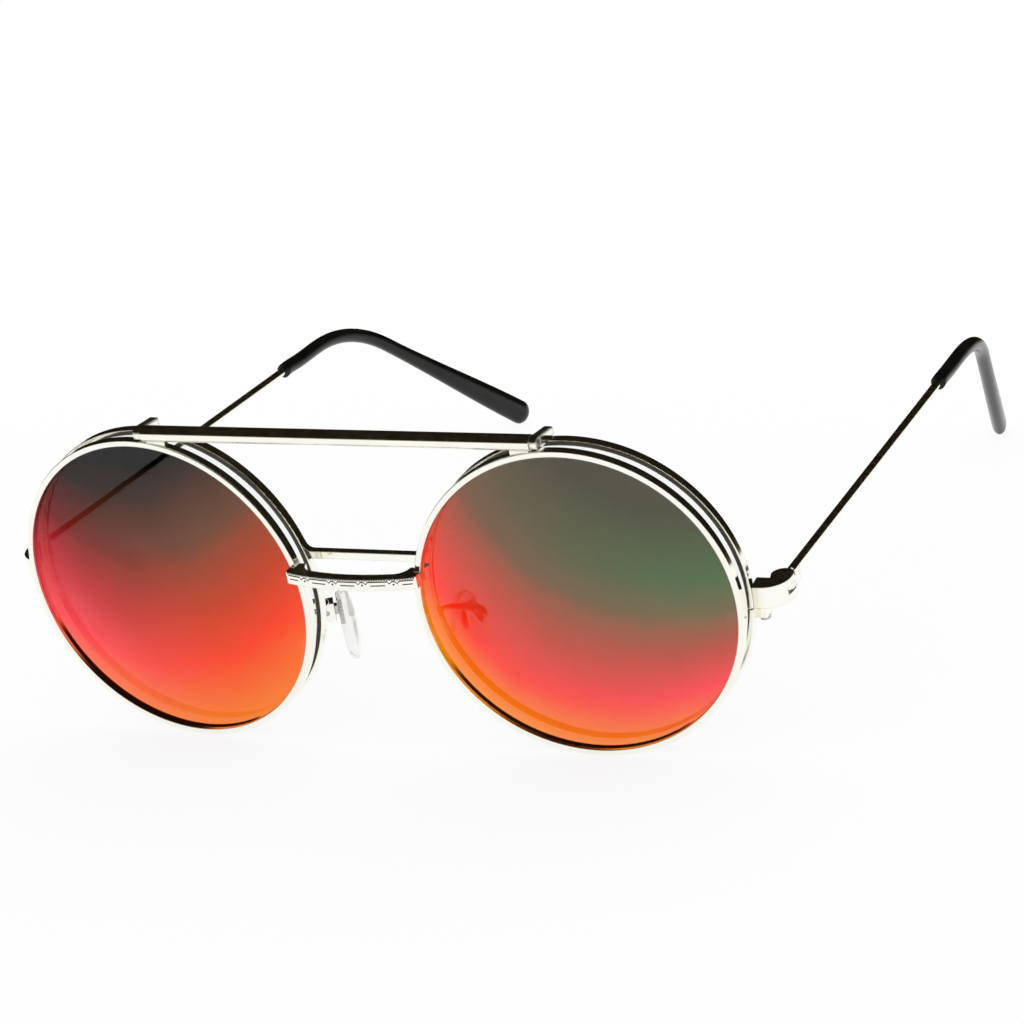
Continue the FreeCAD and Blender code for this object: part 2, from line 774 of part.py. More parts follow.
both_sides(rim_lock(), "rim_lock")
lock_shank = s.lock_height + s.lock_gap + lock_bite
both_sides(
    screw(
        "rim_lock_screw",
        lock_screw_place,
        s.lock_screw_across,
        lock_shank,
        s.lock_screw_head,
        s.lock_head_height,
    ),
    "rim_lock_screw",
)
both_sides(
    screw(
        "hinge_screw",
        hinge_place * at(0, 0, -half_end_piece),
        s.hinge_screw_across,
        hinge_shank,
        s.hinge_screw_head,
        s.hinge_head_height,
    ),
    "hinge_screw",
)


# Temples: bent wire with a tongue at the hinge, and a black tip
def temple_wire(name, radius):
    """Wire along Y with the ear bend."""
    body = new_body(name, wire_place)
    section = new_sketch(body, "XZ_Plane", f"{name}_section")
    circle(section, radius)
    path = new_sketch(body, "YZ_Plane", f"{name}_path")
    core = as_size(tip_straight) - s.core_stop
    outline(
        path,
        (
            (0, 0),
            (s.temple_straight, 0, s.ear_bend_radius, -1),
            (bend_end_along, bend_end_up),
            (bend_end_along + core * cosine(s.ear_bend), bend_end_up - core * sine(s.ear_bend)),
        ),
        closed=False,
    )
    pipe = body.newObject("PartDesign::AdditivePipe", f"{name}_pipe")
    pipe.Profile = section
    pipe.Spine = path
    return body


def temple():
    """Wire, butt block and tongue in one piece."""
    wire = temple_wire("temple_wire", wire_radius)
    body = new_body("temple_hinge_end", hinge_place)
    left = s.wire_offset - wire_radius
    right = s.wire_offset + wire_radius
    back = s.butt_setback + s.butt_length
    tongue = new_sketch(body, "XY_Plane", "tongue_eye")
    circle(tongue, s.knuckle_radius - s.fit_gap)
    pad(body, tongue, s.tongue_thickness)
    neck = new_sketch(body, "XY_Plane", "tongue_neck")
    outline(neck, ((left, 0), (right, 0), (right, back), (left, back)))
    pad(body, neck, s.tongue_thickness)
    butt = new_sketch(body, "XY_Plane", "temple_butt")
    outline(butt, ((left, s.butt_setback), (right, s.butt_setback), (right, back), (left, back)))
    pad(body, butt, s.butt_height)
    bore = new_sketch(body, "XY_Plane", "tongue_bore")
    circle(bore, s.hinge_screw_across / 2 + s.running_gap)
    pocket(body, bore, s.butt_height)
    fused = doc.addObject("Part::MultiFuse", "temple")
    fused.Shapes = [body, wire]
    return fused


both_sides(temple(), "temple")


def tip_station(distance):
    """Point and tangent angle of the temple's path, measured on from the start of the ear bend."""
    bend = s.ear_bend_radius.number * bend_radians
    if distance <= 0:
        return Vector(0, s.temple_straight.number + distance, 0), 0
    if distance < bend:
        angle = distance / s.ear_bend_radius.number
        along = s.temple_straight.number + s.ear_bend_radius.number * math.sin(angle)
        return Vector(0, along, s.ear_bend_radius.number * (math.cos(angle) - 1)), math.degrees(angle)
    return bend_end + tip_way * (distance - bend), s.ear_bend.number


def temple_tip():
    """Tip that starts round and broadens to a flat end, which is closed by half an ellipsoid."""
    bend = s.ear_bend_radius.number * bend_radians
    start = -s.tip_lead.number
    broad = bend + tip_straight - half_tip_width.number
    round_radius = s.tip_across / 2
    half_thickness = s.tip_thickness / 2
    turn = s.tip_turn_angle.number
    steps = 16
    sections = []
    for step in range(steps + 1):
        distance = start + (broad - start) * step / steps
        share = min(max((distance - bend) / (broad - bend), 0), 1)
        growth = share * share * (3 - 2 * share)
        point, angle = tip_station(distance)
        facing = Rotation(X_AXIS, -90 - angle) * Rotation(Z_AXIS, 90 - turn)
        ring = doc.addObject("Part::Ellipse", f"tip_ring_{step}")
        bind(
            ring,
            MajorRadius=round_radius + (half_tip_width - round_radius) * growth + RING_MARGIN,
            MinorRadius=round_radius + (half_thickness - round_radius) * growth,
        )
        ring.Placement = wire_place * Placement(point, facing)
        sections.append(ring)
    loft = doc.addObject("Part::Loft", "temple_tip_loft")
    loft.Sections = sections
    loft.Solid = True
    cap = doc.addObject("Part::Ellipsoid", "temple_tip_cap")
    cap.Angle1 = 0
    bind(cap, Radius1=half_tip_width, Radius2=half_tip_width + RING_MARGIN, Radius3=half_thickness)
    cap.Placement = sections[-1].Placement
    whole = doc.addObject("Part::MultiFuse", "temple_tip_whole")
    whole.Shapes = [loft, cap]
    bore = temple_wire("temple_tip_bore", wire_radius + s.running_gap)
    return cut("temple_tip", whole, bore)


both_sides(temple_tip(), "temple_tip")


# Nose pads with their stems, boxes, screws and arms
def nose_pad():
    """Drop shaped pad, rounded on the nose side, with a seat for the plate of its core."""
    body = new_body("nose_pad", pad_place)
    sketch = new_sketch(body, "YZ_Plane", "nose_pad_outline")
    foot = s.pad_foot_width / 2
    head = s.pad_head_width / 2
    low = foot - s.pad_height / 2
    high = s.pad_height / 2 - head
    outline(
        sketch,
        (
            (-foot, low, foot, 1),
            (0, low - foot, foot, 1),
            (foot, low),
            (head, high, head, 1),
            (0, high + head, head, 1),
            (-head, high),
        ),
    )
    pad(body, sketch, s.pad_thickness)
    nose_side = (pad_place * at(-s.pad_thickness / 2, 0, 0)).Base
    facing = pad_place.Rotation.multVec(X_AXIS)
    rounded(
        body,
        s.pad_edge_round,
        lambda edge: abs((pad_place.multVec(edge.CenterOfMass) - nose_side).dot(facing)) < 0.01,
    )
    seat = new_sketch(body, "XZ_Plane", "nose_pad_seat")
    back = s.pad_thickness / 2
    half = s.core_plate_height / 2 + s.fit_gap
    inner = back - s.core_plate_depth - s.fit_gap
    outline(
        seat,
        (
            (inner, s.pad_stem_rise - half),
            (back + s.pad_edge_round, s.pad_stem_rise - half),
            (back + s.pad_edge_round, s.pad_stem_rise + half),
            (inner, s.pad_stem_rise + half),
        ),
    )
    pocket(body, seat, s.core_plate_width + s.fit_gap * 2)
    return body


both_sides(nose_pad(), "nose_pad")


def pad_core():
    """Plate in the pad with the stem that the screw holds."""
    body = new_body("pad_core", rock_place)
    plate = new_sketch(body, "XZ_Plane", "pad_core_plate")
    back = s.pad_thickness / 2 - rock_axis
    half = s.core_plate_height / 2
    inner = back - s.core_plate_depth
    outline(plate, ((inner, -half), (back, -half), (back, half), (inner, half)))
    pad(body, plate, s.core_plate_width)
    stem = new_sketch(body, "XZ_Plane", "pad_core_stem")
    half = s.stem_height / 2
    outline(stem, ((inner, -half), (s.stem_end, -half), (s.stem_end, half), (inner, half)))
    pad(body, stem, s.stem_width)
    bore = new_sketch(body, "XZ_Plane", "pad_core_bore")
    circle(bore, s.pad_screw_across / 2 + s.running_gap)
    pocket(body, bore, s.stem_width * 2)
    return body


both_sides(pad_core(), "pad_core")

box_half_width = s.stem_width / 2 + s.stem_side_gap + s.pad_box_wall
box_half_height = s.stem_height / 2 + s.stem_rock_gap + s.pad_box_wall


def pad_box():
    """Cup that is open towards the pad and takes the stem."""
    body = new_body("pad_box", rock_place)
    half = s.pad_box_depth / 2
    wall = s.pad_box_wall
    shell = new_sketch(body, "XZ_Plane", "pad_box_side")
    outline(
        shell,
        (
            (-half, -box_half_height),
            (half, -box_half_height),
            (half, box_half_height),
            (-half, box_half_height),
        ),
    )
    pad(body, shell, box_half_width * 2)
    room = new_sketch(body, "XZ_Plane", "pad_box_room")
    outline(
        room,
        (
            (-half - wall, wall - box_half_height),
            (half - wall, wall - box_half_height),
            (half - wall, box_half_height - wall),
            (-half - wall, box_half_height - wall),
        ),
    )
    pocket(body, room, s.stem_width + s.stem_side_gap * 2)
    bore = new_sketch(body, "XZ_Plane", "pad_box_bore")
    circle(bore, s.pad_screw_across / 2 + s.running_gap)
    pocket(body, bore, box_half_width * 3)
    return body


both_sides(pad_box(), "pad_box")
both_sides(
    screw(
        "pad_screw",
        rock_place * at(0, box_half_width + s.pad_head_height, 0, X_AXIS, 90),
        s.pad_screw_across,
        box_half_width * 2,
        s.pad_screw_head,
        s.pad_head_height,
    ),
    "pad_screw",
)


def pad_arm():
    """Wire from the back of the rear rim that loops round to the outside of the pad box."""
    radius = s.pad_arm_across.number / 2
    ring = rim_inside.number + s.rim_wall.number / 2
    drop = s.pad_arm_drop.number
    start = rear_lens_place.multVec(
        Vector(-math.sqrt(ring**2 - drop**2), s.rim_depth.number, -drop)
    )
    way = rear_lens_place.Rotation.multVec(Y_AXIS)
    loop = s.pad_arm_loop.number
    end = rock_place.multVec(Vector(s.pad_box_depth.number / 2, 0, 0))
    arrive = rock_place.Rotation.multVec(X_AXIS)
    up = stand.Rotation.multVec(Z_AXIS)
    outside = end + arrive * loop * 0.6 + up * loop * 0.5
    over = (start + end) / 2 + way * loop * 0.1 + up * loop * 0.55
    curve = Part.BSplineCurve()
    curve.interpolate(
        Points=[start, over, outside, end],
        InitialTangent=way * loop * 2,
        FinalTangent=-arrive * loop * 2,
    )
    path = Part.Wire(curve.toShape())
    section = Part.Wire(Part.makeCircle(radius, start, way))
    arm = doc.addObject("Part::Feature", "pad_arm")
    arm.Shape = path.makePipeShell([section], True, False)
    return arm


both_sides(pad_arm(), "pad_arm")

doc.recompute()

os.makedirs("parts", exist_ok=True)
for thing in doc.Objects:
    if "Invalid" in thing.State or "Error" in thing.State:
        raise RuntimeError(f"{thing.Label} did not compute: {thing.State}")
for piece in pieces:
    shape = piece.Shape
    if shape.isNull() or not shape.isValid():
        raise RuntimeError(f"{piece.Label} has no valid shape")
    shape.exportStep(f"parts/{piece.Label}.step")
    print(f"{piece.Label}: {len(shape.Solids)} solid, {shape.Volume:.2f} mm3")
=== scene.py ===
import json
import math

import bmesh
import bpy
from mathutils import Matrix, Vector


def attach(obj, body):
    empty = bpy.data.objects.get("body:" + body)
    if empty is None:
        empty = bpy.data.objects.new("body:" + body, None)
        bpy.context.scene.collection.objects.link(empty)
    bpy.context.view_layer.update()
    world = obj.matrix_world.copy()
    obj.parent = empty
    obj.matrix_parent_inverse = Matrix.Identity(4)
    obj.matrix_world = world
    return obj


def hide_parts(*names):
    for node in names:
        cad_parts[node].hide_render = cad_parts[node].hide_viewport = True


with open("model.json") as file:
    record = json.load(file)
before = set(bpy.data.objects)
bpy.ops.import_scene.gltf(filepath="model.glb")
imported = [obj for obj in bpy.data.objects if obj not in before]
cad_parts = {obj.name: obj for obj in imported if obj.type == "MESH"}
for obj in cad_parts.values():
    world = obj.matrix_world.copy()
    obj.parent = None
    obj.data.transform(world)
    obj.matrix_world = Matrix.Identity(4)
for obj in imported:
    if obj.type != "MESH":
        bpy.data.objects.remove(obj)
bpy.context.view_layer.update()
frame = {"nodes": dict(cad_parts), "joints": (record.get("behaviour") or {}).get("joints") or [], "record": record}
nodes = frame["nodes"]
MM = 0.001

# The frame of the lens fronts: X across, Y back to the wearer, Z up along the lenses.
# It leans forward on the table, and the two hinges say where it is.
PIVOT_SETBACK = 0.3
PIVOT_RISE = 26.15
joints = {joint["name"]: joint for joint in frame["joints"]}
fold_axis = joints["temple_fold_right"]["axis"]
lean_angle = math.atan2(-fold_axis[1], fold_axis[2])
lean = Matrix.Rotation(lean_angle, 4, "X")
pivot = Vector(joints["flip_up"]["pos_m"])
lens_origin = pivot - lean @ (Vector((0, PIVOT_SETBACK, PIVOT_RISE)) * MM)
lens_frame = Matrix.Translation(lens_origin) @ lean
LENS_REACH = 33.9
LENS_CURVE = 130.0
WRAP = math.radians(5)


# Material helpers
BEVEL_SAMPLES = 6
GRAIN_STRENGTH = 0.25


def new_material(name):
    material = bpy.data.materials.new(name)
    material.use_nodes = True
    return material, material.node_tree, material.node_tree.nodes["Principled BSDF"]


def add(tree, kind, inputs=(), **settings):
    """A node with its settings and inputs, where an input is a value or another node's socket."""
    node = tree.nodes.new(kind)
    for name, value in settings.items():
        setattr(node, name, value)
    for name, value in dict(inputs).items():
        if isinstance(value, bpy.types.NodeSocket):
            tree.links.new(value, node.inputs[name])
        else:
            node.inputs[name].default_value = value
    return node


def maths(tree, operation, *values):
    """The result of a sum on values or on other nodes' sockets."""
    return add(tree, "ShaderNodeMath", dict(enumerate(values)), operation=operation).outputs[0]


def blend(tree, share, first, second):
    """A colour between two colours."""
    inputs = {"Factor": share, "A": first, "B": second}
    return add(tree, "ShaderNodeMix", inputs, data_type="RGBA").outputs["Result"]


def place_of(tree):
    """The coordinates of the part, in metres."""
    return add(tree, "ShaderNodeTexCoord").outputs["Object"]


def noise(tree, place, scale, detail=2.0):
    inputs = {"Vector": place, "Scale": scale, "Detail": detail}
    return add(tree, "ShaderNodeTexNoise", inputs).outputs["Fac"]


def between(tree, value, low, high, start=0.3, end=0.7):
    """A value that runs from low to high as another runs from start to end."""
    inputs = {"Value": value, "From Min": start, "From Max": end, "To Min": low, "To Max": high}
    return add(tree, "ShaderNodeMapRange", inputs).outputs["Result"]


def ramp(tree, value, stops):
    """A colour that runs through stops as a value runs from 0 to 1."""
    node = add(tree, "ShaderNodeValToRGB", {"Fac": value})
    elements = node.color_ramp.elements
    while len(elements) < len(stops):
        elements.new(0.5)
    for element, (position, colour) in zip(elements, stops):
        element.position = position
        element.color = (*colour, 1)
    return node.outputs["Color"]


def bump(tree, shader, height, strength, depth, rounding):
    """A fine relief, laid over edges whose shading is rounded a little."""
    inputs = {"Height": height, "Strength": strength, "Distance": depth}
    if rounding:
        rounded_edge = add(tree, "ShaderNodeBevel", {"Radius": rounding}, samples=BEVEL_SAMPLES)
        inputs["Normal"] = rounded_edge.outputs["Normal"]
    tree.links.new(add(tree, "ShaderNodeBump", inputs).outputs["Normal"], shader.inputs["Normal"])


def surface(name, light, dark, roughness, cloud, grain, metallic=0.0, depth=0.004, rounding=0.0):
    """A finish with clouded colour, rubbed gloss and a fine grain.

    The cloud and the grain are noise scales.
    The depth of the grain and the rounding are in millimetres.
    """
    material, tree, shader = new_material(name)
    place = place_of(tree)
    colour = ramp(tree, noise(tree, place, cloud), ((0.35, dark), (0.65, light)))
    tree.links.new(colour, shader.inputs["Base Color"])
    rubbed = between(tree, noise(tree, place, cloud * 6, 4), *roughness)
    tree.links.new(rubbed, shader.inputs["Roughness"])
    bump(tree, shader, noise(tree, place, grain, 3), GRAIN_STRENGTH, depth * MM, rounding * MM)
    shader.inputs["Metallic"].default_value = metallic
    return material, tree, shader


# Finishes
SILVER = ((0.99, 0.98, 0.9), (0.96, 0.945, 0.86))
polished, _, _ = surface(
    "polished_metal", *SILVER, (0.06, 0.14), cloud=140, grain=2600, metallic=1.0, rounding=0.22
)
rounded, _, _ = surface(
    "rounded_metal", *SILVER, (0.08, 0.16), cloud=140, grain=2600, metallic=1.0, rounding=0.8
)
steel, _, _ = surface(
    "screw_steel",
    (0.66, 0.65, 0.63),
    (0.5, 0.49, 0.47),
    (0.22, 0.38),
    cloud=300,
    grain=5000,
    metallic=1.0,
)
black, _, tip_shader = surface(
    "black_tip",
    (0.006, 0.006, 0.005),
    (0.003, 0.003, 0.003),
    (0.12, 0.2),
    cloud=160,
    grain=1500,
    rounding=1.2,
)
tip_shader.inputs["Specular IOR Level"].default_value = 0.3
bush, _, _ = surface(
    "bush_plastic", (0.8, 0.78, 0.72), (0.7, 0.68, 0.62), (0.4, 0.55), cloud=300, grain=4000
)
clear_pad, _, pad_shader = surface(
    "clear_pad",
    (1, 1, 0.98),
    (0.97, 0.97, 0.95),
    (0.14, 0.24),
    cloud=300,
    grain=1800,
    depth=0.0006,
)
pad_shader.inputs["Transmission Weight"].default_value = 0.92
pad_shader.inputs["IOR"].default_value = 1.28
clear_lens, _, clear_shader = surface(
    "clear_lens",
    (0.96, 0.97, 0.96),
    (0.92, 0.93, 0.92),
    (0.02, 0.06),
    cloud=60,
    grain=900,
    depth=0.0005,
)
clear_shader.inputs["Alpha"].default_value = 0.05
# The engraved lines are dark strips standing just in front of the bridge face
engraved, _, _ = surface(
    "dark_engraving",
    (0.016, 0.013, 0.009),
    (0.007, 0.006, 0.004),
    (0.35, 0.55),
    cloud=600,
    grain=6000,
)


def lens_places(tree, lens_x):
    """Where a point lies on a lens: across and up from the lens centre, in millimetres."""
    to_lens = lens_frame.inverted()
    grown = Matrix.Scale(1 / MM, 4)
    return add(
        tree,
        "ShaderNodeMapping",
        {
            "Vector": place_of(tree),
            "Rotation": to_lens.to_euler(),
            "Scale": (1 / MM, 1 / MM, 1 / MM),
            "Location": grown @ to_lens.translation - Vector((lens_x, 0, 0)),
        },
    ).outputs["Vector"]


def ball_slope(tree, lens_place, lens_x):
    """The slope of a lens front, which is part of a large ball."""
    curved = add(
        tree,
        "ShaderNodeVectorMath",
        {0: lens_place, 1: (1 / LENS_CURVE, 0, 1 / LENS_CURVE), 2: (0, -1, 0)},
        operation="MULTIPLY_ADD",
    ).outputs["Vector"]
    turn = (lean @ Matrix.Rotation(math.copysign(WRAP, lens_x), 4, "Z")).to_euler()
    turned = add(
        tree,
        "ShaderNodeVectorRotate",
        {"Vector": curved, "Rotation": turn},
        rotation_type="EULER_XYZ",
    ).outputs["Vector"]
    return add(
        tree,
        "ShaderNodeVectorTransform",
        {"Vector": turned},
        vector_type="NORMAL",
        convert_from="OBJECT",
        convert_to="WORLD",
    ).outputs["Vector"]


def mirror_lens(name, lens_x, low_x, curve, skew, side_end, cover, left_shades, right_shades):
    """Mirror coat in sagging bands of painted reflection: grey above, then red, and orange below.

    The bands lie lowest at low_x, and skew spreads them more towards the right.
    The shades change from the left to the right of the lens up to side_end.
    The grey above is a painted reflection of a dark surround, and the red and orange are the coat mirroring a
    bright floor, painted in.
    The coat hides the share cover of what is behind it, and its back is smoke brown.
    """
    material, tree, shader = new_material(name)
    place = place_of(tree)
    lens_place = lens_places(tree, lens_x)
    axes = add(tree, "ShaderNodeSeparateXYZ", {"Vector": lens_place}).outputs
    across = maths(tree, "SUBTRACT", axes["X"], low_x)
    square = maths(tree, "MULTIPLY", across, across)
    lift = maths(tree, "MULTIPLY_ADD", axes["X"], skew, 1.0)
    height = maths(tree, "MULTIPLY", axes["Z"], lift)
    cloudy = between(tree, noise(tree, place, 70, 3), -BAND_DRIFT, BAND_DRIFT)
    sunk = maths(tree, "SUBTRACT", cloudy, height)
    band = maths(tree, "MULTIPLY_ADD", square, curve, sunk)
    share = between(tree, band, 0, 1, BAND_TOP, BAND_FOOT)

    seen_light = (1 - cover) * (1 - INNER_COVER) * LIGHT_BEHIND

    # Painted reflection: the band colours of the coat, less the light that shows through it from behind
    def coat(shades):
        stops = []
        for way, colour in shades:
            light = [min(max(value - seen_light, 0) / cover, 1) for value in colour]
            stops.append(((way - BAND_TOP) / (BAND_FOOT - BAND_TOP), light))
        return ramp(tree, share, stops)

    side = between(tree, axes["X"], 0, 1, SIDE_START, side_end)
    front = blend(tree, side, coat(left_shades), coat(right_shades))
    slant = add(tree, "ShaderNodeTexCoord").outputs["Normal"]
    facing = add(tree, "ShaderNodeSeparateXYZ", {"Vector": slant}).outputs["Y"]
    back = between(tree, facing, 0, 1, -0.1, 0.1)
    smoke = ramp(tree, noise(tree, place, 90), BACK_SHADES)
    tree.links.new(blend(tree, back, front, smoke), shader.inputs["Base Color"])
    outside = between(tree, back, cover, BACK_COVER, 0, 1)
    shape = add(tree, "ShaderNodeNewGeometry").outputs
    hides = {"Factor": shape["Backfacing"], "A": outside, "B": INNER_COVER}
    tree.links.new(add(tree, "ShaderNodeMix", hides).outputs["Result"], shader.inputs["Alpha"])
    plain = maths(tree, "MAXIMUM", back, shape["Backfacing"])
    slope = add(tree, "ShaderNodeMix", {"Factor": plain}, data_type="VECTOR")
    tree.links.new(ball_slope(tree, lens_place, lens_x), slope.inputs[4])
    tree.links.new(shape["Normal"], slope.inputs[5])
    tree.links.new(slope.outputs[1], shader.inputs["Normal"])
    rubbed = between(tree, noise(tree, place, 900, 4), 0.05, 0.12)
    tree.links.new(rubbed, shader.inputs["Roughness"])
    tree.links.new(between(tree, back, 1, 0, 0, 1), shader.inputs["Metallic"])
    shader.inputs["Specular IOR Level"].default_value = 0.1
    return material


# The mirror coat and its painted reflection play through these colours: the darker shades stand for a mirrored
# dark surround, red and orange for the coat mirroring a bright floor
DARK_REFLECTION = (0.023, 0.022, 0.02)
BARK = (0.09, 0.075, 0.05)
SLATE = (0.1, 0.098, 0.068)
MOSS = (0.105, 0.168, 0.086)
OLIVE = (0.19, 0.165, 0.095)
UMBER = (0.22, 0.12, 0.08)
SIENNA = (0.18, 0.085, 0.054)
MAROON = (0.19, 0.03, 0.028)
RUST = (0.5, 0.11, 0.08)
EMBER = (0.56, 0.073, 0.034)
CRIMSON = (0.57, 0.05, 0.062)
VERMILION = (1.0, 0.085, 0.048)
SCARLET = (0.98, 0.077, 0.034)
CORAL = (1.0, 0.094, 0.108)
AMBER = (1.0, 0.34, 0.06)

# How far down the lens each colour of coat and painted reflection lies, in millimetres, on the outer and inner
# side of a lens
BAND_TOP = -25
BAND_FOOT = 35
BAND_DRIFT = 0.8
SIDE_START = -18
left_outer = ((-16, DARK_REFLECTION), (-6, MAROON), (3, CRIMSON), (14, CORAL), (28, AMBER))
left_inner = ((-21, DARK_REFLECTION), (-8, SIENNA), (3, EMBER), (12.5, SCARLET), (30, AMBER))
right_inner = ((-20, BARK), (1, UMBER), (9, RUST), (20.5, VERMILION), (29, AMBER))
right_outer = ((-20, SLATE), (-6, MOSS), (1, OLIVE), (10, RUST), (18.5, CORAL), (31, AMBER))

# The back of a lens, the shares that its back and its inner faces hide, and the light behind it
BACK_SHADES = ((0.3, (0.02, 0.0135, 0.004)), (0.7, (0.03, 0.02, 0.006)))
BACK_COVER = 0.97
INNER_COVER = 0.15
LIGHT_BEHIND = 0.9
left_coat_and_reflection = mirror_lens(
    "mirror_coat_and_painted_reflection_left",
    -LENS_REACH,
    low_x=-2.2,
    curve=0.0179,
    skew=0,
    side_end=8,
    cover=0.955,
    left_shades=left_outer,
    right_shades=left_inner,
)
right_coat_and_reflection = mirror_lens(
    "mirror_coat_and_painted_reflection_right",
    LENS_REACH,
    low_x=16,
    curve=0.0163,
    skew=0.0206,
    side_end=16,
    cover=0.91,
    left_shades=right_inner,
    right_shades=right_outer,
)

finish_of_slot = {
    "polished_metal": polished,
    "steel": steel,
    "black_tip": black,
    "bush_plastic": bush,
    "clear_pad": clear_pad,
    "clear_lens": clear_lens,
}
for part in frame["record"]["subparts"]:
    node = nodes[part["node"]]
    finish = finish_of_slot.get(part["material_slot"])
    if part["node"].startswith("flip_ear"):
        finish = rounded
    if finish is None:
        finish = left_coat_and_reflection if part["node"].endswith("left") else right_coat_and_reflection
    node.data.materials.clear()
    node.data.materials.append(finish)


# Shapes
def piece_from(form, name, finish, body):
    """Make an object from a form drawn in millimetres of the lens frame."""
    bmesh.ops.scale(form, vec=(MM, MM, MM), verts=form.verts)
    bmesh.ops.transform(form, matrix=lens_frame, verts=form.verts)
    bmesh.ops.recalc_face_normals(form, faces=form.faces)
    mesh = bpy.data.meshes.new(name)
    form.to_mesh(mesh)
    form.free()
    for face in mesh.polygons:
        face.use_smooth = True
    mesh.materials.append(finish)
    piece = bpy.data.objects.new(name, mesh)
    bpy.context.scene.collection.objects.link(piece)
    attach(piece, body)
    return piece


# Ornament on the front bridge: a row of beads along its upper edge and an engraved band below them
BRIDGE_REACH = 10.695
BRIDGE_BOW = 1.5
BRIDGE_END = -3.522
BRIDGE_TOP = 5.825
BRIDGE_CURVE = (BRIDGE_REACH**2 + BRIDGE_BOW**2) / (2 * BRIDGE_BOW)
BEAD_PITCH = 0.39
BEAD_RADIUS = 0.155
BEAD_DROP = 0.16
NOTCH_PAIRS = (-7.3, -2.43, 2.43, 7.3)
NOTCH_APART = 1.15
NOTCH_DEPTH = 0.36
NOTCH_REACH = 0.35
DOT_DROP = 1.0
DOT_RADIUS = 0.15
DASH_DROP = 1.1
DASH_WIDTH = 0.17
LONG_DASHES = (-4.87, 0, 4.87)
SHORT_DASHES = (-9.35, 9.35)
LINE_STEP = 0.1
LINE_STAND = 0.015
LINE_THICKNESS = 0.05


def bridge_front(x):
    """How far back the front of the bowed bridge lies."""
    return BRIDGE_END + BRIDGE_CURVE - BRIDGE_BOW - math.sqrt(BRIDGE_CURVE**2 - x * x)


def bead_row():
    form = bmesh.new()
    count = int(BRIDGE_REACH * 2 / BEAD_PITCH) - 1
    for i in range(count):
        x = (i - (count - 1) / 2) * BEAD_PITCH
        place = Matrix.Translation((x, bridge_front(x), BRIDGE_TOP - BEAD_DROP))
        bmesh.ops.create_icosphere(form, subdivisions=2, radius=BEAD_RADIUS, matrix=place)
    return piece_from(form, "bridge_beads", polished, "flip_front")


def engraved_line(form, middle, length, drop, width, notched=False):
    """A thin strip let into the front of the bridge, dipping twice at each pair of notches."""
    steps = int(length / LINE_STEP)
    strip = bmesh.ops.create_grid(form, x_segments=steps, y_segments=1, size=0.5)["verts"]
    for vert in strip:
        x = middle + vert.co.x * length
        z = BRIDGE_TOP - drop + vert.co.y * width
        if notched:
            reach = min(abs(abs(x - pair) - NOTCH_APART / 2) for pair in NOTCH_PAIRS)
            z -= NOTCH_DEPTH * max(0, 1 - reach / NOTCH_REACH)
        vert.co = (x, bridge_front(x) - LINE_STAND, z)
    faces = {face for vert in strip for face in vert.link_faces}
    bmesh.ops.recalc_face_normals(form, faces=list(faces))
    bmesh.ops.solidify(form, geom=list(faces), thickness=LINE_THICKNESS)


def bridge_engraving():
    form = bmesh.new()
    engraved_line(form, 0, 2 * BRIDGE_REACH - 0.8, 0.5, 0.18, notched=True)
    engraved_line(form, 0, 2 * BRIDGE_REACH - 0.5, BEAD_DROP, 0.36)
    for pair in NOTCH_PAIRS:
        place = Matrix.Translation((pair, bridge_front(pair), BRIDGE_TOP - DOT_DROP))
        bmesh.ops.create_icosphere(form, subdivisions=2, radius=DOT_RADIUS, matrix=place)
    for middle in LONG_DASHES:
        engraved_line(form, middle, 2.3, DASH_DROP, DASH_WIDTH)
    for middle in SHORT_DASHES:
        engraved_line(form, middle, 1.5, DASH_DROP, DASH_WIDTH)
    return piece_from(form, "bridge_engraving", engraved, "flip_front")


bead_row()
bridge_engraving()


# Nose pads: moulded drops with a domed nose side and a flatter back
PAD_HEIGHT = 12.2
PAD_FOOT_WIDTH = 6.7
PAD_HEAD_WIDTH = 5.3
PAD_THICKNESS = 2.4
PAD_ROCK_AXIS = 3.0
PAD_STEM_RISE = 2.6


def nose_pad(side, sign):
    """A pad that turns about the rocking axis of its side."""
    rock = joints[f"pad_rock_{side}"]
    axis = (lens_frame.inverted().to_3x3() @ Vector(rock["axis"])) * sign
    splay = math.atan2(axis.x, axis.y)
    centre = lens_frame.inverted() @ Vector(rock["pos_m"]) / MM
    form = bmesh.new()
    bmesh.ops.create_uvsphere(form, u_segments=56, v_segments=28, radius=1)
    for vert in form.verts:
        x, y, z = vert.co
        spread = min(math.hypot(x, y), 1)
        dome = math.sqrt(1 - spread**2) if z < 0 else (1 - spread**8) ** 0.5
        width = PAD_FOOT_WIDTH + (PAD_HEAD_WIDTH - PAD_FOOT_WIDTH) * (y + 1) / 2
        depth = PAD_THICKNESS / 2 * math.copysign(dome, z)
        vert.co = (depth, x * width / 2, y * PAD_HEIGHT / 2)
    to_middle = Matrix.Translation((-PAD_ROCK_AXIS, 0, -PAD_STEM_RISE))
    outward = Matrix.Scale(sign, 4, (1, 0, 0))
    turn = Matrix.Rotation(-splay, 4, "Z")
    placed = Matrix.Translation(centre) @ turn @ outward @ to_middle
    bmesh.ops.transform(form, matrix=placed, verts=form.verts)
    pad = piece_from(form, f"moulded_pad_{side}", clear_pad, f"rocking_pad_{side}")
    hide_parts(f"nose_pad_{side}")


nose_pad("right", 1)
nose_pad("left", -1)


